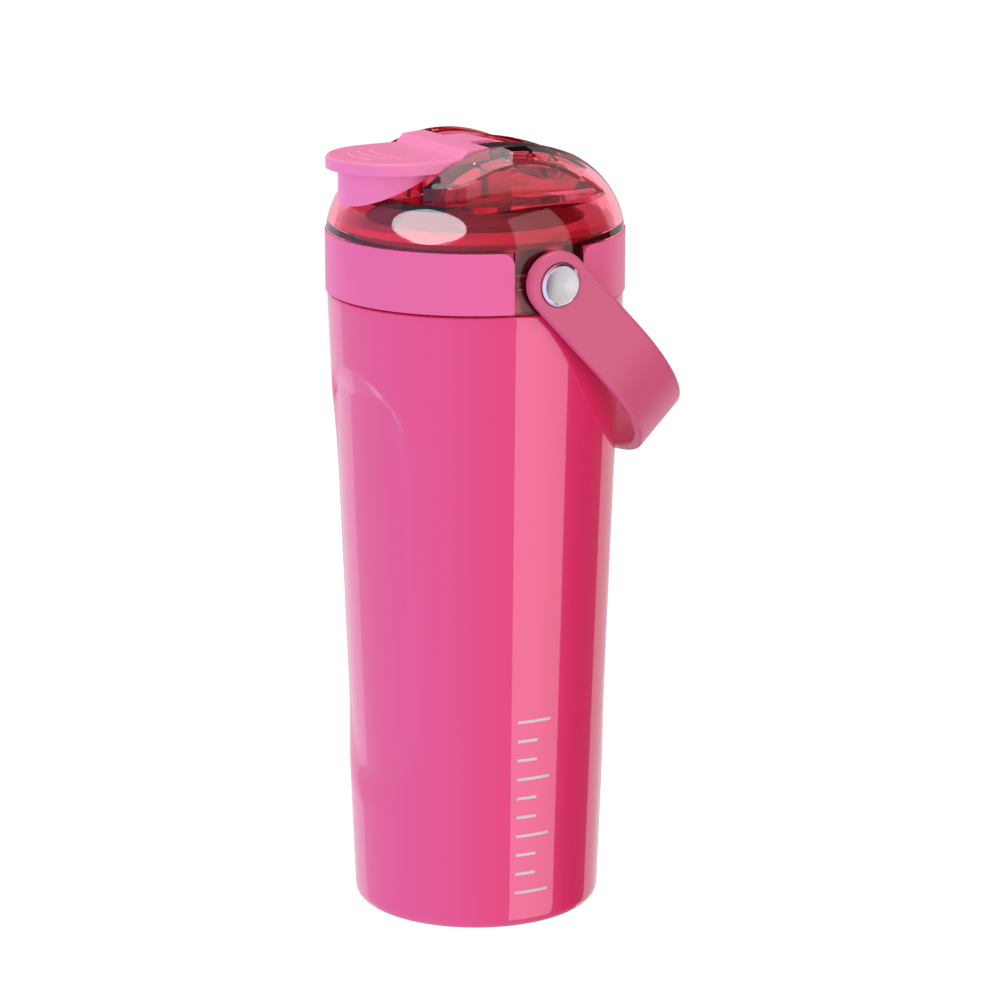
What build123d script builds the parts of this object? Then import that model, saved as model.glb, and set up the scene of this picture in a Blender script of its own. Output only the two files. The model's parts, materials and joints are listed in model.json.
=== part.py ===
"""Insulated protein shaker bottle with a screw-on domed lid, flip cap and bail handle.

Units are millimetres. +Z is up, the origin is the centre of the resting face,
the spout points to -Y and the handle turns about an axis along X.
"""
from build123d import *
from math import cos, radians, sin, sqrt
import os

os.makedirs("parts", exist_ok=True)

# ---------------------------------------------------------------- driving dimensions
SEAM_Z = 190.0            # top of the body, where the lid begins
BODY_BASE_RADIUS = 36.95
BODY_TOP_RADIUS = 44.0
LID_RADIUS = 44.5         # outside of the collar halves
METAL = 0.6               # outer wall thickness
VESSEL_METAL = 0.5        # inner wall thickness
LID_WALL = 2.4            # wall of the clear lid

# resting end
FOOT_CLEAR = 0.6          # the body stands this far above the table on its pad
BASE_ROUND = 3.0
BASE_HOLE_RADIUS = 33.0
PAD_THICKNESS = 1.6

# grip recesses, one under the spout and one opposite
GRIP_DEPTH = 2.0
GRIP_HALF_WIDTH = 26.0
GRIP_BOTTOM = 35.5
GRIP_TOP = 170.0
GRIP_TOP_RISE = 41.0      # half-height of the arched top
GRIP_BOTTOM_RISE = 32.0
GRIP_FLATTER = 6.0        # how much larger the grip's radius is than the body's

# mouth and thread
NECK_RADIUS = 37.6
NECK_BORE = 36.2
NECK_TOP = SEAM_Z + 17.0
THREAD_LEAD = 12.0
THREAD_STARTS = 2
THREAD_DEPTH = 1.3
THREAD_ROOT = 2.2
THREAD_CREST = 1.1
LID_THREAD_RADIUS = 39.6

# lid dome, made of two tangent arcs
DOME_TOP = SEAM_Z + 44.8
DOME_RADIUS = 44.4
CROWN_RADIUS = 75.0
SHOULDER_RADIUS = 26.0
DOME_FOOT = SEAM_Z + 20.0  # where the dome is welded to its skirt
LEDGE_Z = SEAM_Z + 30.8   # floor of the side scoops and of the cap channel
FLANK_X = 28.0            # outer wall of each hump
HUMP_TOP = SEAM_Z + 45.3
HUMP_ARC = 50.0           # radius of a hump's back, seen from the side
HUMP_Y = -1.0             # where a hump is highest
HUMP_INNER_X = 17.5
HUMP_OUTER_X = FLANK_X + 0.3
HUMP_ROUND = 5.2
HUMP_LIMIT_RADIUS = 47.7  # sphere that the ends of a hump stay inside
HUMP_LIMIT_Z = SEAM_Z + 2.4
CHANNEL_X = 20.3          # half-width of the channel under the paddle
SLOT_X = 8.0              # half-width of the slot for the cap's strap
CHANNEL_BACK_Y = -3.6
LID_BOTTOM = SEAM_Z + 0.2
PIVOT_BOSS_RADIUS = 8.6

# collar halves
COLLAR_TOP = SEAM_Z + 18.1
COLLAR_INNER = 42.6
WINDOW_HALF_ANGLE = 15.0
COLLAR_CORNER = 3.7

# spout and cap
SPOUT_Y = -27.7
SPOUT_BORE = 8.0
SPOUT_OUTER = 10.0
SPOUT_RIM_Z = SEAM_Z + 35.4
SPOUT_SLOPE = 0.2         # rise of the rim towards the hinge
PADDLE_TOP = SEAM_Z + 42.3
PADDLE_THICKNESS = 3.6
PADDLE_RADIUS = 19.6
SKIRT_OUTER = 16.0
SKIRT_WALL = 1.8
STRAP_HALF = 7.4
BLOCK_FRONT_Y = -15.6
BLOCK_BACK_Y = -5.8
BLOCK_TOP = SEAM_Z + 45.0
PIN_Y = 19.0
PIN_Z = SEAM_Z + 36.0
PIN_RADIUS = 1.5
PIN_HALF_LENGTH = 12.5
BARREL_RADIUS = 4.0

# seal, inner collar and agitator
GASKET_BOTTOM = SEAM_Z + 17.85
GASKET_TOP = SEAM_Z + 20.0
INNER_COLLAR_RADIUS = 34.7
INNER_COLLAR_FLANGE = 40.9  # rests on the top of the lid's skirt
INNER_COLLAR_BORE = 32.4
AGITATOR_RADIUS = 33.6
AGITATOR_LOW = SEAM_Z - 26.0
AGITATOR_DISC = 2.4
WIRE_CIRCLE = 32.4
WIRE_RADIUS = 1.1

# handle
PIVOT_Z = SEAM_Z + 8.9
HANDLE_OUTER = 49.1
HANDLE_THICKNESS = 3.0
HANDLE_ARM = 28.9         # straight length before the round bend
HANDLE_HALF_WIDTH = 9.7
HANDLE_REST_ANGLE = 46.5  # degrees below level, towards the back
EYE_INNER = 44.95
EYE_PAD_RADIUS = 9.0
SHOULDER_PIN_RADIUS = 3.55
EYE_BORE = 3.6
BUTTON_RADIUS = 6.4
BUTTON_FACE = 50.4


# ---------------------------------------------------------------- small helpers
def body_radius(z, inset=0.0):
    """Outside radius of the tapered body at height z, less an inset."""
    return BODY_BASE_RADIUS + (BODY_TOP_RADIUS - BODY_BASE_RADIUS) * z / SEAM_Z - inset


def turned(*edges):
    """Solid of revolution about Z from edges drawn in (radius, z)."""
    outline = Plane.XZ * make_face(Wire(edges))
    return revolve(outline, Axis.Z)


def turned_polygon(*points):
    """Solid of revolution about Z from the corners of its half section."""
    return revolve(Plane.XZ * make_face(Polyline(*points, close=True)), Axis.Z)


def ring(outer, inner, bottom, top):
    """Plain ring standing on the level bottom."""
    tube = Cylinder(outer, top - bottom) - Cylinder(inner, top - bottom)
    return Pos(0, 0, (top + bottom) / 2) * tube


def disc(radius, bottom, top):
    return Pos(0, 0, (top + bottom) / 2) * Cylinder(radius, top - bottom)


def block(low, high):
    """Box between two corners."""
    size = [h - l for l, h in zip(low, high)]
    middle = [(h + l) / 2 for l, h in zip(low, high)]
    return Pos(*middle) * Box(*size)


def along_x(radius, start, end, z=PIVOT_Z, y=0.0):
    """Cylinder along X from start to end."""
    middle = Pos((start + end) / 2, y, z) * Rot(0, 90, 0)
    return middle * Cylinder(radius, abs(end - start))


def helical_ridge(root_radius, crest_radius, bottom, height, start_angle):
    """Thread ridge of trapezoid section, sunk a little into its wall."""
    sink = 0.3 if crest_radius > root_radius else -0.3
    path = Helix(pitch=THREAD_LEAD, height=height, radius=root_radius)
    frame = Plane(origin=path @ 0, x_dir=(1, 0, 0), z_dir=path % 0)
    rise = crest_radius - root_radius
    section = frame * make_face(Polyline(
        (-sink, -THREAD_ROOT / 2),
        (rise, -THREAD_CREST / 2),
        (rise, THREAD_CREST / 2),
        (-sink, THREAD_ROOT / 2),
        close=True))
    ridge = sweep(section, path=path, is_frenet=True)
    return Pos(0, 0, bottom) * Rot(0, 0, start_angle) * ridge


# ---------------------------------------------------------------- body
def tapered_solid(inset, bottom, top, foot_round):
    """Solid cone of the body, inset from its outside, with a rounded foot."""
    low = body_radius(bottom, inset)
    cone = turned_polygon((0, bottom), (low, bottom), (body_radius(top, inset), top), (0, top))
    return fillet(cone.edges().sort_by(Axis.Z)[0], foot_round)


def grip_outline(grow):
    """Upright oval of the grip recess, in X and Z."""
    half = GRIP_HALF_WIDTH + grow
    low = GRIP_BOTTOM + GRIP_BOTTOM_RISE
    high = GRIP_TOP - GRIP_TOP_RISE
    middle = Pos(0, (low + high) / 2) * Rectangle(2 * half, high - low)
    arch = Pos(0, high) * Ellipse(half, GRIP_TOP_RISE + grow)
    cup = Pos(0, low) * Ellipse(half, GRIP_BOTTOM_RISE + grow)
    return middle + arch + cup


def grip_cutter(depth, grow):
    """What the grip takes away at the front: an oval prism outside a flatter cone."""
    prism = extrude(Plane.XZ * grip_outline(grow), 60)
    low = body_radius(0) + GRIP_FLATTER
    high = body_radius(SEAM_Z) + GRIP_FLATTER
    core = turned_polygon((0, 0), (low, 0), (high, SEAM_Z), (0, SEAM_Z))
    return prism - Pos(0, GRIP_FLATTER + depth, 0) * core


def outer_shell():
    top = SEAM_Z - 0.4
    outside = tapered_solid(0, FOOT_CLEAR, top, BASE_ROUND)
    outside = fillet(outside.edges().sort_by(Axis.Z)[-1], 0.8)
    inside = tapered_solid(METAL, FOOT_CLEAR + METAL, top - METAL, BASE_ROUND - METAL)
    for side in (0, 180):
        outside -= Rot(0, 0, side) * grip_cutter(GRIP_DEPTH, 0)
        inside -= Rot(0, 0, side) * grip_cutter(GRIP_DEPTH + METAL, METAL)
    shell = outside - inside
    shell -= disc(NECK_RADIUS, top - 2, top + 1)
    return shell - disc(BASE_HOLE_RADIUS, 0, FOOT_CLEAR + 1.5)


def vessel_half_section(inset):
    """Outside of the inner vessel when inset is 0, its inside when it is one wall."""
    floor = 6.0 + inset
    corner = 9.0 - inset
    side = 32.6 - inset
    return [
        (0, floor),
        (side - corner, floor),
        (side, floor + corner),
        (39.3 - inset, 178),
        (NECK_BORE - inset, 184),
    ]


def inner_vessel():
    outside = turned_polygon(*vessel_half_section(0), (NECK_BORE, NECK_TOP), (0, NECK_TOP))
    inside_points = vessel_half_section(VESSEL_METAL)
    mouth = NECK_BORE - VESSEL_METAL
    inside = turned_polygon(*inside_points, (mouth, NECK_TOP + 2), (0, NECK_TOP + 2))
    lip = ring(NECK_RADIUS, NECK_BORE - VESSEL_METAL, NECK_TOP, NECK_TOP + 0.8)
    return outside - inside + lip


def neck_ring():
    neck = ring(NECK_RADIUS, NECK_BORE, SEAM_Z - 5, NECK_TOP)
    for start in range(THREAD_STARTS):
        neck += helical_ridge(NECK_RADIUS, NECK_RADIUS + THREAD_DEPTH, SEAM_Z + 4.2, 9.6,
                              start * 360 / THREAD_STARTS)
    return neck


def base_plate():
    plate = disc(BASE_HOLE_RADIUS, FOOT_CLEAR + 1.0, FOOT_CLEAR + 2.0)
    flange = ring(BASE_HOLE_RADIUS, BASE_HOLE_RADIUS - METAL, FOOT_CLEAR, FOOT_CLEAR + 1.5)
    return plate + flange


def base_pad():
    pad = disc(BASE_HOLE_RADIUS - METAL, 0, PAD_THICKNESS)
    return chamfer(pad.edges().sort_by(Axis.Z)[0], 0.4)


def getter_bracket():
    return ring(7.0, 4.0, FOOT_CLEAR + 2.0, FOOT_CLEAR + 2.6)


def getter_capsule():
    return disc(4.0, FOOT_CLEAR + 2.0, FOOT_CLEAR + 4.0)


# ---------------------------------------------------------------- lid
def dome_solid(inset):
    """Solid dome of a crown arc and a tangent shoulder arc, inset from the outside."""
    lean = (DOME_RADIUS - SHOULDER_RADIUS) / (CROWN_RADIUS - SHOULDER_RADIUS)
    upright = sqrt(1 - lean * lean)
    crown_z = DOME_TOP - CROWN_RADIUS
    shoulder_r = DOME_RADIUS - SHOULDER_RADIUS
    shoulder_z = crown_z + (CROWN_RADIUS - SHOULDER_RADIUS) * upright
    crown = CROWN_RADIUS - inset
    shoulder = SHOULDER_RADIUS - inset
    side = DOME_RADIUS - inset
    join = (crown * lean, crown_z + crown * upright)
    bend = radians(30)
    crown_middle = (crown * sin(bend / 2), crown_z + crown * cos(bend / 2))
    shoulder_middle = (shoulder_r + shoulder * cos(bend), shoulder_z + shoulder * sin(bend))
    return turned(
        Line((0, LID_BOTTOM), (side, LID_BOTTOM)),
        Line((side, LID_BOTTOM), (side, shoulder_z)),
        ThreePointArc((side, shoulder_z), shoulder_middle, join),
        ThreePointArc(join, crown_middle, (0, DOME_TOP - inset)),
        Line((0, DOME_TOP - inset), (0, LID_BOTTOM)))


def scoop(grow):
    """Side scoop beyond the +X hump: level floor, upright wall that turns in at the front."""
    wall = FLANK_X - grow
    inner = CHANNEL_X - 0.3 - grow
    front = -29.0 + grow
    outline = make_face(Wire([
        Line((wall, 60), (wall, -15)),
        ThreePointArc((wall, -15), (wall - 2.2, -23 + grow / 2), (inner, front)),
        Line((inner, front), (inner, -60)),
        Line((inner, -60), (60, -60)),
        Line((60, -60), (60, 60)),
        Line((60, 60), (wall, 60)),
    ]))
    return Pos(0, 0, LEDGE_Z - grow) * extrude(outline, 40)


def dome_cuts(grow):
    """Scoops, the channel under the paddle and the slot for the strap."""
    near = scoop(grow)
    cuts = near + mirror(near, Plane.YZ)
    half = CHANNEL_X + grow
    slot = SLOT_X + grow
    floor = LEDGE_Z - grow
    cuts += block((-half, -60, floor), (half, CHANNEL_BACK_Y + grow, floor + 40))
    return cuts + block((-slot, CHANNEL_BACK_Y - 5, floor), (slot, 60, floor + 40))


def collar_pocket(side):
    """Room for one collar half: a ring sector that leaves the windows standing."""
    return collar_sector(COLLAR_INNER, LID_RADIUS + 2, LID_BOTTOM - 1, COLLAR_TOP + 0.1, side, 0.15)


def collar_sector(inner, outer, bottom, top, side, grow=0.0):
    """Sector of a ring round +Y (side 1) or -Y (side -1), open at the windows."""
    angle = radians(WINDOW_HALF_ANGLE)
    reach = 60.0
    corners = [
        (-reach, reach * sin(angle) / cos(angle) - grow),
        (0, -grow),
        (reach, reach * sin(angle) / cos(angle) - grow),
        (reach, reach),
        (-reach, reach),
    ]
    wedge = extrude(make_face(Polyline(*corners, close=True)), top - bottom)
    sector = ring(outer, inner, bottom, top) & (Pos(0, 0, bottom) * wedge)
    return sector if side > 0 else Rot(0, 0, 180) * sector


def hinge_bosses():
    """Thickened wall round each end of the cap's pin."""
    start = SLOT_X + LID_WALL - 0.4
    near = along_x(3.4, start, PIN_HALF_LENGTH + 1.5, PIN_Z, PIN_Y)
    web = block((start, PIN_Y - 3.4, PIN_Z), (PIN_HALF_LENGTH + 1.5, PIN_Y + 3.4, PIN_Z + 7))
    pair = near + web
    return pair + mirror(pair, Plane.YZ)


def humps(inset):
    """Pair of rounded ridges along Y that stand a little above the dome."""
    ridge = along_x(HUMP_ARC - inset, HUMP_INNER_X + inset, HUMP_OUTER_X - inset,
                    HUMP_TOP - HUMP_ARC, HUMP_Y)
    ridge = fillet(ridge.edges().filter_by(GeomType.CIRCLE), HUMP_ROUND - inset)
    ridge &= block((0, -60, LEDGE_Z - inset), (60, 60, HUMP_TOP + 10))
    near = ridge & (Pos(0, 0, HUMP_LIMIT_Z) * Sphere(HUMP_LIMIT_RADIUS - inset))
    return near + mirror(near, Plane.YZ)


def hump_ribs():
    """Short moulded ribs under the crown of each hump."""
    ribs = Part()
    for side in (-1, 1):
        for y in (-12.0, -3.0, 6.0, 13.0):
            crown = HUMP_TOP - (y - HUMP_Y) ** 2 / (2 * HUMP_ARC)
            low = (side * 23 - 3.4, y - 0.6, crown - LID_WALL - 2.5)
            ribs += block(low, (side * 23 + 3.4, y + 0.6, crown))
    return ribs


def spout_rim_plane(lift):
    """Sloping plane of the spout's rim, raised by lift."""
    length = sqrt(1 + SPOUT_SLOPE ** 2)
    normal = (0, -SPOUT_SLOPE / length, 1 / length)
    return Plane(origin=(0, SPOUT_Y, SPOUT_RIM_Z + lift), x_dir=(1, 0, 0), z_dir=normal)


def below_rim(solid, lift):
    return split(solid, bisect_by=spout_rim_plane(lift), keep=Keep.BOTTOM)


def lid_dome():
    """Clear dome above the seal."""
    skin = dome_solid(0) + humps(0) - dome_cuts(0)
    inside = dome_solid(LID_WALL) + humps(LID_WALL)
    shell = skin - (inside - dome_cuts(LID_WALL))
    shell += (hump_ribs() + hinge_bosses()) & inside
    shell -= Pos(0, SPOUT_Y, 0) * disc(SPOUT_OUTER, LEDGE_Z - 8, SPOUT_RIM_Z + 8)
    shell -= disc(DOME_RADIUS + 1, LID_BOTTOM - 1, DOME_FOOT)
    return shell - along_x(PIN_RADIUS, -PIN_HALF_LENGTH, PIN_HALF_LENGTH, PIN_Z, PIN_Y)


def spout():
    """Drinking nozzle set in the ledge, with a sloping rim."""
    tube = disc(SPOUT_OUTER, LEDGE_Z - LID_WALL, SPOUT_RIM_Z + 6)
    tube = below_rim(Pos(0, SPOUT_Y, 0) * tube, 0)
    return tube - Pos(0, SPOUT_Y, 0) * disc(SPOUT_BORE, LEDGE_Z - 8, SPOUT_RIM_Z + 8)


def lid_skirt():
    """Clear threaded ring under the dome; its pads fill the windows between the collar halves."""
    skirt = dome_solid(0) & ring(DOME_RADIUS + 1, LID_THREAD_RADIUS, LID_BOTTOM, DOME_FOOT)
    for side in (-1, 1):
        skirt -= collar_pocket(side)
        skirt += along_x(PIVOT_BOSS_RADIUS, side * 42, side * DOME_RADIUS)
        skirt -= along_x(3.2, side * 40.4, side * 46.0)
    for start in range(THREAD_STARTS):
        skirt += helical_ridge(LID_THREAD_RADIUS, LID_THREAD_RADIUS - 1.5, SEAM_Z + 4.6, 7.2,
                               start * 360 / THREAD_STARTS + 90)
    return skirt


def collar_half(side):
    sector = collar_sector(COLLAR_INNER, LID_RADIUS, LID_BOTTOM, COLLAR_TOP, side)
    upright = sector.edges().filter_by(lambda e: abs(e.center().Z - COLLAR_TOP) < 0.01)
    corners = upright.filter_by(GeomType.LINE)
    return fillet(corners, COLLAR_CORNER)


def inner_collar():
    flange = ring(INNER_COLLAR_FLANGE, INNER_COLLAR_BORE, GASKET_TOP, GASKET_TOP + 2)
    tube = ring(INNER_COLLAR_RADIUS, INNER_COLLAR_BORE, SEAM_Z + 11, GASKET_TOP)
    groove = ring(INNER_COLLAR_RADIUS - 0.9, INNER_COLLAR_BORE - 1, SEAM_Z + 10, SEAM_Z + 13)
    return flange + tube - groove


def lid_gasket():
    return ring(38.4, INNER_COLLAR_RADIUS + 0.15, GASKET_BOTTOM, GASKET_TOP - 0.15)


def agitator_ring():
    """Ring that snaps into the inner collar and carries the whisk wires."""
    return ring(INNER_COLLAR_RADIUS - 0.9, INNER_COLLAR_BORE - 1.2, SEAM_Z + 4, SEAM_Z + 13)


def agitator_wires():
    """Six upright steel wires, evenly spaced, from the ring down to the disc."""
    wire = Pos(WIRE_CIRCLE, 0, 0) * disc(WIRE_RADIUS, AGITATOR_LOW + AGITATOR_DISC, SEAM_Z + 4)
    return Part() + [Rot(0, 0, count * 60) * wire for count in range(6)]


def agitator_disc():
    """Slotted mixing disc at the foot of the wires."""
    top = AGITATOR_LOW + AGITATOR_DISC
    plate = ring(AGITATOR_RADIUS, 29.5, AGITATOR_LOW, top) + ring(20.5, 18.0, AGITATOR_LOW, top)
    for count in range(12):
        spoke = block((6.0, -0.9, AGITATOR_LOW), (31.0, 0.9, top))
        plate += Rot(0, 0, count * 30) * spoke
    return plate + disc(7.0, AGITATOR_LOW, top)


# ---------------------------------------------------------------- flip cap
def paddle():
    bottom = PADDLE_TOP - PADDLE_THICKNESS
    round_end = Pos(0, SPOUT_Y, 0) * disc(PADDLE_RADIUS, bottom, PADDLE_TOP)
    plate = block((-PADDLE_RADIUS, SPOUT_Y, bottom), (PADDLE_RADIUS, BLOCK_BACK_Y, PADDLE_TOP))
    blade = round_end + plate
    blade = fillet(blade.faces().sort_by(Axis.Z)[-1].edges().filter_by(GeomType.CIRCLE), 1.3)
    return blade


def raised_block():
    """Bar across the cap, sloped in front and slightly higher at the back."""
    bottom = PADDLE_TOP - PADDLE_THICKNESS
    outline = Plane.YZ * make_face(Polyline(
        (BLOCK_FRONT_Y, bottom),
        (BLOCK_FRONT_Y, PADDLE_TOP),
        (BLOCK_FRONT_Y + 2.2, BLOCK_TOP - 0.5),
        (BLOCK_BACK_Y, BLOCK_TOP),
        (BLOCK_BACK_Y, bottom),
        close=True))
    bar = extrude(outline, PADDLE_RADIUS, both=True)
    upper = bar.edges().filter_by(Axis.X).sort_by(Axis.Z)[-2:]
    return fillet(upper, 0.8)


def strap():
    """Narrow strap from the bar down to the hinge barrel."""
    run = PIN_Y - (BLOCK_BACK_Y + 6)
    outline = Plane.YZ * make_face(Polyline(
        (BLOCK_BACK_Y - 1, PADDLE_TOP - PADDLE_THICKNESS),
        (BLOCK_BACK_Y - 1, BLOCK_TOP),
        (BLOCK_BACK_Y + 6, BLOCK_TOP),
        (PIN_Y + 0.29 * BARREL_RADIUS, PIN_Z + 0.957 * BARREL_RADIUS),
        (PIN_Y, PIN_Z),
        (PIN_Y - 0.29 * run, PIN_Z),
        close=True))
    body = extrude(outline, STRAP_HALF, both=True)
    return body + along_x(BARREL_RADIUS, -STRAP_HALF, STRAP_HALF, PIN_Z, PIN_Y)


def spout_skirt():
    """Curved wall under the paddle that shrouds the spout, cut off at a slant."""
    bottom = PADDLE_TOP - PADDLE_THICKNESS
    wall = ring(SKIRT_OUTER, SKIRT_OUTER - SKIRT_WALL, SEAM_Z + 20, bottom + 0.5)
    wall = Pos(0, SPOUT_Y, 0) * wall
    rise = 0.47
    length = sqrt(1 + rise * rise)
    slant = Plane(origin=(0, SPOUT_Y - SKIRT_OUTER, SEAM_Z + 28.4), x_dir=(1, 0, 0),
                  z_dir=(0, -rise / length, 1 / length))
    return split(wall, bisect_by=slant, keep=Keep.TOP)


def flip_cap():
    cap = paddle() + raised_block() + strap() + spout_skirt()
    return cap - along_x(PIN_RADIUS + 0.05, -20, 20, PIN_Z, PIN_Y)


def spout_plug():
    """Soft plug: a flange over the rim and a short core inside the bore."""
    underside = PADDLE_TOP - PADDLE_THICKNESS
    flange = Pos(0, SPOUT_Y, 0) * disc(SPOUT_OUTER + 0.6, SPOUT_RIM_Z - 8, underside)
    flange = split(flange, bisect_by=spout_rim_plane(0.3), keep=Keep.TOP)
    core = Pos(0, SPOUT_Y, 0) * disc(SPOUT_BORE - 0.8, SPOUT_RIM_Z - 8, underside)
    core = split(core, bisect_by=spout_rim_plane(-2.2), keep=Keep.TOP)
    return flange + core


def hinge_pin():
    return along_x(PIN_RADIUS, -PIN_HALF_LENGTH, PIN_HALF_LENGTH, PIN_Z, PIN_Y)


# ---------------------------------------------------------------- handle
def bail_outline(radius):
    """Rounded U in X and distance from the pivot, closed across the pivot."""
    end = ThreePointArc((radius, HANDLE_ARM), (0, HANDLE_ARM + radius), (-radius, HANDLE_ARM))
    back = Line((-radius, HANDLE_ARM), (-radius, -15))
    across = Line((-radius, -15), (radius, -15))
    out = Line((radius, -15), (radius, HANDLE_ARM))
    return make_face(Wire([end, back, across, out]))


def handle():
    """Strap bail, built level towards +Y and then hung down at its resting angle."""
    outside = extrude(bail_outline(HANDLE_OUTER), HANDLE_HALF_WIDTH, both=True)
    inside = extrude(bail_outline(HANDLE_OUTER - HANDLE_THICKNESS), HANDLE_HALF_WIDTH, both=True)
    side_view = along_x(HANDLE_HALF_WIDTH, -60, 60, 0)
    side_view += block((-60, 0, -HANDLE_HALF_WIDTH), (60, 90, HANDLE_HALF_WIDTH))
    strap_bail = (outside - inside) & side_view
    strap_bail = fillet(strap_bail.edges().filter_by(lambda e: e.length > 20), 1.0)
    for side in (-1, 1):
        strap_bail += along_x(EYE_PAD_RADIUS, side * EYE_INNER, side * (HANDLE_OUTER - 1), 0)
        strap_bail -= along_x(EYE_BORE, side * 40, side * 55, 0)
        strap_bail -= along_x(BUTTON_RADIUS + 0.25, side * 46.6, side * 55, 0)
    return Pos(0, 0, PIVOT_Z) * Rot(-HANDLE_REST_ANGLE, 0, 0) * strap_bail


def pivot_insert(side):
    return along_x(3.2, side * 40.4, side * 44.2) - along_x(2.0, side * 40, side * 45)


def pivot_washer(side):
    return along_x(7.5, side * 44.45, side * 44.85) - along_x(SHOULDER_PIN_RADIUS, side * 44, side * 45)


def pivot_screw(side):
    shank = along_x(2.0, side * 40.8, side * DOME_RADIUS)
    shoulder = along_x(SHOULDER_PIN_RADIUS, side * DOME_RADIUS, side * 46.7)
    return shank + shoulder + along_x(5.6, side * 46.7, side * 48.0)


def pivot_button(side):
    cap = along_x(BUTTON_RADIUS, side * 48.0, side * BUTTON_FACE)
    outermost = cap.edges().filter_by(GeomType.CIRCLE).sort_by(Axis.X)[-1 if side > 0 else 0]
    return chamfer(outermost, 0.5)


# ---------------------------------------------------------------- write every piece
PIECES = {
    "outer_shell": outer_shell,
    "inner_vessel": inner_vessel,
    "neck_ring": neck_ring,
    "base_plate": base_plate,
    "base_pad": base_pad,
    "getter_bracket": getter_bracket,
    "getter_capsule": getter_capsule,
    "lid_dome": lid_dome,
    "lid_skirt": lid_skirt,
    "spout": spout,
    "inner_collar": inner_collar,
    "lid_gasket": lid_gasket,
    "agitator_ring": agitator_ring,
    "agitator_wires": agitator_wires,
    "agitator_disc": agitator_disc,
    "flip_cap": flip_cap,
    "spout_plug": spout_plug,
    "hinge_pin": hinge_pin,
    "handle": handle,
}
SIDED_PIECES = {
    "pivot_insert": pivot_insert,
    "pivot_washer": pivot_washer,
    "pivot_screw": pivot_screw,
    "pivot_button": pivot_button,
}

for name, make in PIECES.items():
    export_step(make(), f"parts/{name}.step")
for name, make in SIDED_PIECES.items():
    export_step(make(1), f"parts/{name}_right.step")
    export_step(make(-1), f"parts/{name}_left.step")
export_step(collar_half(-1), "parts/front_collar.step")
export_step(collar_half(1), "parts/rear_collar.step")
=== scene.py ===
"""Looks of the insulated shaker bottle: camera, lights, materials and detailed pieces.

Everything is in metres in the model's own frame: +Z up, spout towards -Y, handle pivots on X.
Azimuths run from -Y towards +X. Sizes kept in millimetres are multiplied by MM where points are made.
"""
import json
from math import cos, pi, radians, sin, sqrt

import bpy
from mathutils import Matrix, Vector


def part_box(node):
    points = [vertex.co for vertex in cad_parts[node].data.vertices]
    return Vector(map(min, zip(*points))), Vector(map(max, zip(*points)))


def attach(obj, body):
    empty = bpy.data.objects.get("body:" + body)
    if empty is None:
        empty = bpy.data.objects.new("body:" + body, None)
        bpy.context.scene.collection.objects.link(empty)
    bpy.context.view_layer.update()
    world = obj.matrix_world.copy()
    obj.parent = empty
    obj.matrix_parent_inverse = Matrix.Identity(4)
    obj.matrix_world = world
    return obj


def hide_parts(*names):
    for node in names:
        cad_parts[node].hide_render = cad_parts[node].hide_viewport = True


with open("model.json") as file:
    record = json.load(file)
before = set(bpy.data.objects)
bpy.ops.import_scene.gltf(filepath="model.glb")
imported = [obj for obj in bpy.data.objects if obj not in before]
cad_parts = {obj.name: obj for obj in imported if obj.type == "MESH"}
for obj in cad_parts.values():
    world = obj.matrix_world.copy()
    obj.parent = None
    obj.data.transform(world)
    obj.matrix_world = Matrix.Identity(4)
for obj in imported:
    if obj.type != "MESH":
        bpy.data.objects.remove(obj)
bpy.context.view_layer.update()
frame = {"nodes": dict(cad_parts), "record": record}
nodes = frame["nodes"]
MM = 0.001

# ---------------------------------------------------------------- shared sizes
lid_low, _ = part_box("lid_skirt")
cap_low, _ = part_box("flip_cap")
button_low, button_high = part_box("pivot_button_right")

SEAM_Z = lid_low[2] - 0.2 * MM          # where the lid meets the body
PIVOT_Z = (button_low[2] + button_high[2]) / 2
PADDLE_TOP = SEAM_Z + 42.3 * MM
BODY_TOP_RADIUS = 44.0                  # millimetres, at the seam
BODY_BASE_RADIUS = 36.95


def around(azimuth, distance, z):
    """Point at an azimuth and distance from the bottle's axis."""
    return Vector((sin(azimuth) * distance, -cos(azimuth) * distance, z))


# ---------------------------------------------------------------- camera
FACING = radians(59.8)          # azimuth of the camera
PITCH = 0.2506                  # downward tilt
CAMERA_AT = (0.9935, -0.5697, SEAM_Z + 0.2277)
LENS_MM = 141.2
SENSOR_MM = 36.0


def add_camera():
    data = bpy.data.cameras.new("camera")
    data.lens = LENS_MM
    data.sensor_width = SENSOR_MM
    data.clip_start = 0.05
    camera = bpy.data.objects.new("camera", data)
    bpy.context.scene.collection.objects.link(camera)
    camera.location = CAMERA_AT
    aim = around(FACING + pi, cos(PITCH), -sin(PITCH))
    camera.rotation_euler = aim.to_track_quat("-Z", "Y").to_euler()
    bpy.context.scene.camera = camera


# ---------------------------------------------------------------- lights and backdrop
CARD_Z = 0.25                   # middle of the tall softboxes
WALL_LEFT = (0.95, 0.85, 1.35)
WALL_FRONT = (0.50, 0.38, 0.42)
WALL_DARK = (0.10, 0.05, 0.06)
WALL_STOPS = ((0.15, WALL_DARK), (0.375, WALL_FRONT), (1.0, WALL_LEFT))
WALL_BRIGHT_AZIMUTH = FACING - radians(62)
WALL_TILT = -0.35               # the walls brighten downwards
SHEET_SIZE = 60.0
BACKDROP_DISTANCE = 8
SHEET_GLOW = 1.05


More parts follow.
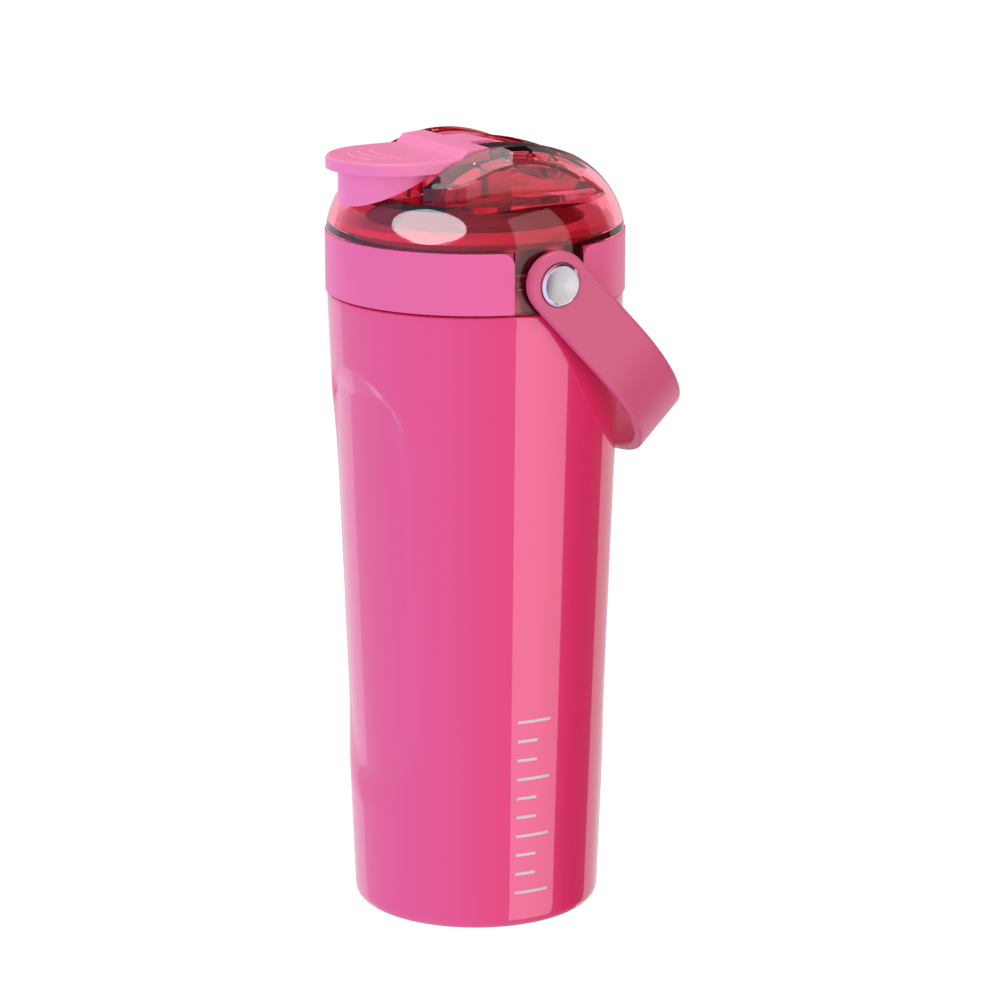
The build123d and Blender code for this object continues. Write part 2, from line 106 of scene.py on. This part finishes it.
def softbox(name, location, width, height, power, colour=(1, 1, 1), aim_z=0.22):
    """Rectangular area light that faces a point on the bottle's axis, unseen by the camera."""
    data = bpy.data.lights.new(name, "AREA")
    data.shape = "RECTANGLE"
    data.size = width
    data.size_y = height
    data.energy = power
    data.color = colour
    lamp = bpy.data.objects.new(name, data)
    bpy.context.scene.collection.objects.link(lamp)
    lamp.location = location
    aim = Vector((0, 0, aim_z)) - lamp.location
    lamp.rotation_euler = aim.to_track_quat("-Z", "Y").to_euler()
    lamp.visible_camera = False
    return lamp


def add_world():
    """Studio walls: lavender to the camera's left and front, nearly dark to its right."""
    world = bpy.data.worlds.new("studio")
    bpy.context.scene.world = world
    world.use_nodes = True
    tree = world.node_tree
    place = tree.nodes.new("ShaderNodeTexCoord")
    toward = tree.nodes.new("ShaderNodeVectorMath")
    toward.operation = "DOT_PRODUCT"
    toward.inputs[1].default_value = around(WALL_BRIGHT_AZIMUTH, 1.0, WALL_TILT)
    spread = tree.nodes.new("ShaderNodeMapRange")
    spread.inputs["From Min"].default_value = -1.0
    ramp = tree.nodes.new("ShaderNodeValToRGB")
    ramp.color_ramp.elements.new(0.5)
    for stop, (position, colour) in zip(ramp.color_ramp.elements, WALL_STOPS):
        stop.position = position
        stop.color = (*colour, 1)
    tree.links.new(place.outputs["Generated"], toward.inputs[0])
    tree.links.new(toward.outputs["Value"], spread.inputs["Value"])
    tree.links.new(spread.outputs["Result"], ramp.inputs["Fac"])
    tree.links.new(ramp.outputs["Color"], tree.nodes["Background"].inputs["Color"])


def white_sheet(name, location, facing=None):
    """Glowing white backdrop that only the camera and clear pieces see."""
    bpy.ops.mesh.primitive_plane_add(size=SHEET_SIZE, location=location)
    sheet = bpy.context.object
    sheet.name = name
    if facing is not None:
        sheet.rotation_euler = facing.to_track_quat("Z", "Y").to_euler()
    material = new_material(name, (0, 0, 0), 1.0, Specular_IOR_Level=0.0,
                            Emission_Color=(1, 1, 1, 1), Emission_Strength=SHEET_GLOW)
    sheet.data.materials.append(material)
    sheet.visible_glossy = False
    sheet.visible_diffuse = False
    sheet.visible_shadow = False


def add_studio():
    """All lights and backdrops; gives back the lamp that is mirrored in the dome."""
    softbox("key_softbox", around(FACING + radians(55), 1.3, CARD_Z), 1.12, 2.6, 11)
    softbox("rear_left_card", around(FACING - radians(150), 1.6, CARD_Z), 1.3, 3.0, 4)
    softbox("rear_right_card", around(FACING + radians(147), 1.6, CARD_Z), 1.25, 3.0, 8)
    window = softbox("front_window", around(FACING - radians(41), 2.2, 1.65), 2.9, 1.9, 130,
                     (0.75, 1.0, 0.97))
    window.data.shape = "ELLIPSE"
    window.visible_diffuse = False
    softbox("top_light", (-0.2, 0.1, 1.5), 0.9, 0.9, 9, aim_z=0.1)
    add_world()
    white_sheet("floor", (0, 0, 0))
    white_sheet("backdrop", around(FACING + pi, BACKDROP_DISTANCE, 0), around(FACING, 1.0, 0))
    bpy.context.scene.view_settings.view_transform = "Standard"
    return window


def light_only(lamp, piece):
    """Keep a lamp's glow off every piece but one."""
    receivers = bpy.data.collections.new(lamp.name + "_receivers")
    receivers.objects.link(piece)
    lamp.light_linking.receiver_collection = receivers


# ---------------------------------------------------------------- materials
def new_material(name, colour, roughness, **sockets):
    """Principled material with its uniform values on the shader itself."""
    material = bpy.data.materials.new(name)
    material.use_nodes = True
    shader = material.node_tree.nodes["Principled BSDF"]
    shader.inputs["Base Color"].default_value = (*colour, 1)
    shader.inputs["Roughness"].default_value = roughness
    for socket, value in sockets.items():
        shader.inputs[socket.replace("_", " ")].default_value = value
    return material


def add_bump(material, scale, strength, distance, stretch=(1, 1, 1)):
    """Fine surface relief from object-space noise."""
    tree = material.node_tree
    place = tree.nodes.new("ShaderNodeTexCoord")
    mapping = tree.nodes.new("ShaderNodeMapping")
    mapping.inputs["Scale"].default_value = stretch
    noise = tree.nodes.new("ShaderNodeTexNoise")
    noise.inputs["Scale"].default_value = scale
    bump = tree.nodes.new("ShaderNodeBump")
    bump.inputs["Strength"].default_value = strength
    bump.inputs["Distance"].default_value = distance
    tree.links.new(place.outputs["Object"], mapping.inputs["Vector"])
    tree.links.new(mapping.outputs["Vector"], noise.inputs["Vector"])
    tree.links.new(noise.outputs["Fac"], bump.inputs["Height"])
    tree.links.new(bump.outputs["Normal"], tree.nodes["Principled BSDF"].inputs["Normal"])


def vary_colour(material, scale, low, high):
    """Slow variation of the base colour between two values."""
    tree = material.node_tree
    place = tree.nodes.new("ShaderNodeTexCoord")
    noise = tree.nodes.new("ShaderNodeTexNoise")
    noise.inputs["Scale"].default_value = scale
    noise.inputs["Detail"].default_value = 3.0
    ramp = tree.nodes.new("ShaderNodeValToRGB")
    for stop, position, colour in zip(ramp.color_ramp.elements, (0.3, 0.7), (low, high)):
        stop.position = position
        stop.color = (*colour, 1)
    tree.links.new(place.outputs["Object"], noise.inputs["Vector"])
    tree.links.new(noise.outputs["Fac"], ramp.inputs["Fac"])
    tree.links.new(ramp.outputs["Color"], tree.nodes["Principled BSDF"].inputs["Base Color"])


def body_paint():
    """Lacquer with a strong clear coat over a pink sheen."""
    material = new_material("body_paint", (0.86, 0.020, 0.113), 0.45, Coat_Weight=1.0,
                            Coat_Roughness=0.02, Coat_IOR=1.82, Specular_IOR_Level=1.0,
                            Specular_Tint=(1.0, 0.30, 1.0, 1))
    vary_colour(material, 9.0, (0.855, 0.0195, 0.112), (0.865, 0.0205, 0.114))
    add_bump(material, 900, 0.02, 0.0002)
    return material


def satin(name, colour, roughness):
    """Moulded plastic or rubber with a slight mottle and a fine grain."""
    material = new_material(name, colour, roughness)
    darker = tuple(c * 0.97 for c in colour)
    lighter = tuple(min(1.0, c * 1.02) for c in colour)
    vary_colour(material, 25.0, darker, lighter)
    add_bump(material, 2600, 0.06, 0.0001)
    return material


def clear_lid():
    """Clear plastic, tinted at its surface and deeper in colour where it is thick."""
    material = new_material("clear_lid", (0.90, 0.42, 0.53), 0.015, Transmission_Weight=1.0, IOR=1.49)
    tree = material.node_tree
    absorption = tree.nodes.new("ShaderNodeVolumeAbsorption")
    absorption.inputs["Color"].default_value = (0.84, 0.03, 0.13, 1)
    absorption.inputs["Density"].default_value = 110.0
    tree.links.new(absorption.outputs["Volume"], tree.nodes["Material Output"].inputs["Volume"])
    return material


def weld():
    """Lets light straight through, for faces where two clear pieces are welded."""
    material = bpy.data.materials.new("weld")
    material.use_nodes = True
    tree = material.node_tree
    clear = tree.nodes.new("ShaderNodeBsdfTransparent")
    tree.links.new(clear.outputs["BSDF"], tree.nodes["Material Output"].inputs["Surface"])
    return material


def button_face():
    """Turned metal: anisotropic highlights that fan out from the centre."""
    material = new_material("button_face", (0.58, 0.58, 0.58), 0.42, Metallic=1.0, Anisotropic=0.75)
    tree = material.node_tree
    tangent = tree.nodes.new("ShaderNodeTangent")
    tangent.direction_type = "RADIAL"
    tangent.axis = "X"
    tree.links.new(tangent.outputs["Tangent"], tree.nodes["Principled BSDF"].inputs["Tangent"])
    return material


def brushed_steel():
    """Steel with fine scratches that run round the vessel."""
    material = new_material("brushed_steel", (0.62, 0.61, 0.60), 0.28, Metallic=1.0)
    add_bump(material, 700, 0.10, 0.0001, stretch=(1, 1, 12))
    return material


MATERIALS = {
    "body_paint": body_paint(),
    "collar_paint": satin("collar_satin", (0.93, 0.165, 0.34), 0.34),
    "clear_lid": clear_lid(),
    "cap_plastic": satin("cap_satin", (0.97, 0.27, 0.46), 0.36),
    "handle_plastic": satin("handle_satin", (0.70, 0.110, 0.21), 0.36),
    "agitator_plastic": satin("agitator_satin", (0.80, 0.05, 0.12), 0.4),
    "bare_steel": brushed_steel(),
    "button_chrome": new_material("button_chrome", (0.82, 0.82, 0.82), 0.08, Metallic=1.0),
    "weld": weld(),
    "button_face": button_face(),
    "mark_silver": new_material("mark_silver", (0.55, 0.50, 0.52), 0.35, Metallic=0.6),
    "insert_brass": new_material("insert_brass", (0.72, 0.50, 0.20), 0.3, Metallic=1.0),
    "seal_silicone": satin("seal_silicone", (0.70, 0.05, 0.10), 0.5),
    "base_silicone": satin("base_silicone", (0.45, 0.04, 0.15), 0.6),
    "washer_plastic": satin("washer_plastic", (0.7, 0.7, 0.7), 0.4),
}


def paint_cad_nodes():
    slots = {entry["node"]: entry["material_slot"] for entry in frame["record"]["subparts"]}
    for name, node in nodes.items():
        node.data.materials.clear()
        node.data.materials.append(MATERIALS[slots[name]])


# ---------------------------------------------------------------- mesh helpers
def mesh_piece(name, points, faces, material, body, smooth=True):
    """Object from points in metres and faces, riding on a CAD body."""
    mesh = bpy.data.meshes.new(name)
    mesh.from_pydata(points, [], faces)
    mesh.validate()
    for polygon in mesh.polygons:
        polygon.use_smooth = smooth
    piece = bpy.data.objects.new(name, mesh)
    bpy.context.scene.collection.objects.link(piece)
    mesh.materials.append(material)
    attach(piece, body)
    return piece


def ring_faces(rows, columns):
    """Quads of a grid of rows whose columns close round the axis."""
    return [(row * columns + column,
             row * columns + (column + 1) % columns,
             (row + 1) * columns + (column + 1) % columns,
             (row + 1) * columns + column)
            for row in range(rows - 1) for column in range(columns)]


def smoothstep(value):
    """Eased step from 0 to 1 as the value goes from 0 to 1."""
    t = min(1.0, max(0.0, value))
    return t * t * (3 - 2 * t)


# ---------------------------------------------------------------- body skin
# Heights and widths are in millimetres. Angles run from the middle of a grip recess.
BODY_LOW = 0.6
BODY_HIGH = 189.6
FOOT_ROUND = 3.0
TOP_ROUND = 0.8
FOOT_LEDGE = 3.9                # how far the skin turns in under the foot
TOP_LEDGE = 6.2                 # and over the shoulder

GRIP_TOP = 170.0
GRIP_TOP_RISE = 41.0            # height of the arch
GRIP_BOTTOM = 35.5
GRIP_BOTTOM_RISE = 32.0
GRIP_HALF_ANGLE = radians(41.0)
GRIP_FLATTER = 6.0              # how much larger the face's radius is than the body's
GRIP_DEPTH = 2.0
GRIP_BLEND = 0.3                # softness of the crease where the face runs out
GRIP_STEP_MIDDLE = 8.0          # height of the slanted step below the arch
GRIP_STEP_SIDE = 2.6
GRIP_STEP_ANGLE = radians(24)   # where the step has narrowed to its side height

EDGE_SCALE = 34.0               # turns a share of the recess's reach into millimetres
EDGE_OUTSET = 2.0               # the soft edge starts this far outside the outline
EDGE_WIDTH = 13.0
CRISP_ANGLE = radians(34)       # the arch is crisp inside this angle
CRISP_FADE_ANGLE = radians(12)
CRISP_LOW = 105.0               # and above this height
CRISP_FADE = 25.0

SKIN_COLUMNS = 720
ROW_THINNING = 1
FOOT_STEPS = 6
TOP_STEPS = 3


def body_radius(z):
    """Radius of the tapered body at z, both in millimetres."""
    return BODY_BASE_RADIUS + (BODY_TOP_RADIUS - BODY_BASE_RADIUS) * z / (SEAM_Z / MM)


def grip_arch(angle):
    """Height of the recess's upper edge at an angle from its middle."""
    share = min(1.0, abs(angle) / GRIP_HALF_ANGLE)
    return GRIP_TOP - GRIP_TOP_RISE * (1 - sqrt(1 - share * share))


def grip_step(angle):
    """Height of the slanted step, which narrows towards the sides."""
    narrowing = smoothstep(abs(angle) / GRIP_STEP_ANGLE)
    return GRIP_STEP_MIDDLE + (GRIP_STEP_SIDE - GRIP_STEP_MIDDLE) * narrowing


def grip_reach(angle, z):
    """How far out a spot lies in the recess: 0 at its middle, 1 on its outline."""
    arch_start = GRIP_TOP - GRIP_TOP_RISE
    bottom_start = GRIP_BOTTOM + GRIP_BOTTOM_RISE
    above = max(0.0, z - arch_start) / GRIP_TOP_RISE
    below = max(0.0, bottom_start - z) / GRIP_BOTTOM_RISE
    return sqrt((angle / GRIP_HALF_ANGLE) ** 2 + above ** 2 + below ** 2)


def grip_depth(angle, z):
    """How far the skin lies inside the tapered body, in millimetres."""
    radius = body_radius(z)
    across = radius * sin(angle)
    flat = sqrt((radius + GRIP_FLATTER) ** 2 - across ** 2) - GRIP_FLATTER - GRIP_DEPTH
    sunk = sqrt(radius ** 2 - across ** 2) - flat
    sunk = 0.5 * (sunk + sqrt(sunk ** 2 + GRIP_BLEND ** 2))
    inward = (1 - grip_reach(angle, z)) * EDGE_SCALE
    soft = smoothstep((inward + EDGE_OUTSET) / EDGE_WIDTH)
    hard = min(1.0, max(0.0, (grip_arch(angle) - z) / grip_step(angle)))
    crisp = smoothstep((CRISP_ANGLE - abs(angle)) / CRISP_FADE_ANGLE)
    crisp *= smoothstep((z - CRISP_LOW) / CRISP_FADE)
    return sunk * (crisp * hard + (1 - crisp) * soft)


def skin_rows(angle):
    """Heights of one column's points: rows gather along the arch so that its crease is crisp."""
    arch = grip_arch(angle)
    # Lowest height of each band and its number of rows.
    bands = ((BODY_LOW + FOOT_ROUND, 16),
             (GRIP_BOTTOM - 3, 40),
             (75.0, 40),
             (arch - 14, 8),
             (arch - grip_step(angle), 12),
             (arch, 14))
    top = BODY_HIGH - TOP_ROUND
    heights = []
    for (low, rows), high in zip(bands, [low for low, _ in bands[1:]] + [top]):
        count = rows // ROW_THINNING
        heights += [low + (high - low) * step / count for step in range(count)]
    return heights + [top]


def skin_outline(azimuth):
    """Radius and height of each point of one column, from under the foot to the shoulder."""
    angle = (azimuth + pi / 2) % pi - pi / 2
    spots = [(BODY_BASE_RADIUS - FOOT_LEDGE, BODY_LOW)]
    for step in range(FOOT_STEPS):
        turn = pi / 2 * step / FOOT_STEPS
        z = BODY_LOW + FOOT_ROUND * (1 - cos(turn))
        spots.append((body_radius(z) - FOOT_ROUND * (1 - sin(turn)), z))
    spots += [(body_radius(z) - grip_depth(angle, z), z) for z in skin_rows(angle)]
    for step in range(1, TOP_STEPS + 1):
        turn = pi / 2 * step / TOP_STEPS
        spots.append((body_radius(BODY_HIGH) - TOP_ROUND * (1 - cos(turn)),
                      BODY_HIGH - TOP_ROUND * (1 - sin(turn))))
    spots.append((body_radius(BODY_HIGH) - TOP_LEDGE, BODY_HIGH))
    return spots


def body_skin():
    """Painted outer wall with a crisp arch and soft sides round each grip recess."""
    columns = []
    for column in range(SKIN_COLUMNS):
        azimuth = 2 * pi * column / SKIN_COLUMNS
        columns.append([around(azimuth, r * MM, z * MM) for r, z in skin_outline(azimuth)])
    points = [spot for row in zip(*columns) for spot in row]
    skin = mesh_piece("body_skin", points, ring_faces(len(columns[0]), SKIN_COLUMNS),
                      MATERIALS["body_paint"], "bottle")
    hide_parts("outer_shell")


# ---------------------------------------------------------------- clear lid
LEVEL_NORMAL = 0.99             # a face is level when its normal's height is above this
JOINT_TOLERANCE = 1e-5


def welded_lid():
    """Dome, skirt and spout as one clear shell; the joint between them is left invisible."""
    parts = []
    for name in ("lid_dome", "lid_skirt", "spout"):
        part = nodes[name].copy()
        part.data = nodes[name].data.copy()
        part.parent = None
        bpy.context.scene.collection.objects.link(part)
        parts.append(part)
    shell = parts[0]
    bpy.ops.object.select_all(action="DESELECT")
    for part in parts:
        part.select_set(True)
    bpy.context.view_layer.objects.active = shell
    bpy.ops.object.join()
    shell.name = "clear_shell"
    shell.data.materials.clear()
    shell.data.materials.append(MATERIALS["clear_lid"])
    shell.data.materials.append(MATERIALS["weld"])
    joint_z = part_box("lid_dome")[0][2]
    for polygon in shell.data.polygons:
        level = abs(polygon.normal.z) > LEVEL_NORMAL
        on_joint = level and abs(polygon.center.z - joint_z) < JOINT_TOLERANCE
        polygon.material_index = 1 if on_joint else 0
    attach(shell, "lid")
    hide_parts("lid_dome", "lid_skirt", "spout")
    return shell


# ---------------------------------------------------------------- fill marks
# Millimetres, apart from the azimuth.
MARK_AZIMUTH = radians(86.5)
MARK_START = 12.0
MARK_STEP = 6.0
MARK_COUNT = 10
MARK_LONG_EVERY = 3
MARK_LONG_HALF = 5.4
MARK_SHORT_HALF = 3.2
MARK_HALF_THICKNESS = 0.45
MARK_PROUD = 0.03               # how far the print stands off the paint
MARK_PANELS = 8


def fill_marks():
    """Plain silver graduation ticks printed low on the body, lined up at their left ends."""
    points = []
    faces = []
    for count in range(MARK_COUNT):
        z = MARK_START + count * MARK_STEP
        half = MARK_SHORT_HALF if count % MARK_LONG_EVERY else MARK_LONG_HALF
        start = len(points)
        for step in range(MARK_PANELS + 1):
            along = 2 * half * step / MARK_PANELS - MARK_LONG_HALF
            azimuth = MARK_AZIMUTH + along / body_radius(z)
            for height in (z - MARK_HALF_THICKNESS, z + MARK_HALF_THICKNESS):
                r = body_radius(height) + MARK_PROUD
                points.append(around(azimuth, r * MM, height * MM))
        faces += [(start + 2 * step, start + 2 * step + 2, start + 2 * step + 3, start + 2 * step + 1)
                  for step in range(MARK_PANELS)]
    mesh_piece("fill_marks", points, faces, MATERIALS["mark_silver"], "bottle")


# ---------------------------------------------------------------- pivot buttons
# Bevelled outline as shares of the button's thickness and radius.
BUTTON_OUTLINE = ((0.0, 1.0), (0.62, 1.0), (0.72, 0.985), (0.98, 0.875), (1.0, 0.855))
BUTTON_FACE_RADIUS = 0.835
BUTTON_FACE_SUNK = 0.06 * MM
BUTTON_COLUMNS = 96


def pivot_button(side_name, side):
    """Button with a polished bevel and a slightly sunk, radially brushed face."""
    low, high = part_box(f"pivot_button_{side_name}")
    radius = (high[2] - low[2]) / 2
    inner = low[0] if side > 0 else high[0]
    outer = high[0] if side > 0 else low[0]
    face_x = outer - side * BUTTON_FACE_SUNK
    outline = [(inner + (outer - inner) * depth, radius * share) for depth, share in BUTTON_OUTLINE]
    outline += [(face_x, radius * BUTTON_FACE_RADIUS), (face_x, 0.0)]
    points = []
    for x, r in outline:
        for column in range(BUTTON_COLUMNS):
            turn = 2 * pi * column / BUTTON_COLUMNS
            points.append((x, r * cos(turn), PIVOT_Z + r * sin(turn)))
    faces = ring_faces(len(outline), BUTTON_COLUMNS)
    if side < 0:
        faces = [tuple(reversed(face)) for face in faces]
    piece = mesh_piece(f"button_{side_name}", points, faces, MATERIALS["button_chrome"], "lid",
                       smooth=False)
    piece.data.materials.append(MATERIALS["button_face"])
    face_start = (len(outline) - 2) * BUTTON_COLUMNS
    for polygon in piece.data.polygons:
        on_face = polygon.index >= face_start
        polygon.use_smooth = on_face or polygon.index < BUTTON_COLUMNS
        polygon.material_index = 1 if on_face else 0
    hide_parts(f"pivot_button_{side_name}")


# ---------------------------------------------------------------- thumb ridges
# Millimetres.
RIDGE_COUNT = 3
RIDGE_START = 7.5               # from the paddle's tip to the first ridge
RIDGE_SPACING = 4.2
RIDGE_HALF = 7.0                # half length of the first ridge
RIDGE_WIDENING = 1.6            # and how much each next one gains
RIDGE_BOW = 1.6
RIDGE_SECTION = ((-0.75, 0.0), (-0.45, 0.22), (0.0, 0.3), (0.45, 0.22), (0.75, 0.0))
RIDGE_BED = 0.02                # the ridges start this far inside the paddle
RIDGE_STEPS = 24
RIDGE_END_TAPER = 12            # how steeply a ridge thins towards its ends
RIDGE_END_SHARE = 0.02          # what is left of its section there


def thumb_ridges():
    """Low curved ridges moulded on the paddle for the thumb."""
    points = []
    faces = []
    width = len(RIDGE_SECTION)
    for count in range(RIDGE_COUNT):
        y_middle = cap_low[1] + (RIDGE_START + RIDGE_SPACING * count) * MM
        half = RIDGE_HALF + RIDGE_WIDENING * count
        start = len(points)
        for step in range(RIDGE_STEPS + 1):
            share = 2 * step / RIDGE_STEPS - 1
            bow = RIDGE_BOW * share ** 2
            taper = min(1.0, RIDGE_END_TAPER * (1 - abs(share)) + RIDGE_END_SHARE)
            for dy, dz in RIDGE_SECTION:
                points.append((share * half * MM, y_middle + (bow + dy * taper) * MM,
                               PADDLE_TOP + (dz * taper - RIDGE_BED) * MM))
        faces += [(start + step * width + k, start + (step + 1) * width + k,
                   start + (step + 1) * width + k + 1, start + step * width + k + 1)
                  for step in range(RIDGE_STEPS) for k in range(width - 1)]
    mesh_piece("thumb_ridges", points, faces, MATERIALS["cap_plastic"], "cap")


add_camera()
window_lamp = add_studio()
paint_cad_nodes()
body_skin()
light_only(window_lamp, welded_lid())
fill_marks()
pivot_button("right", 1)
pivot_button("left", -1)
thumb_ridges()
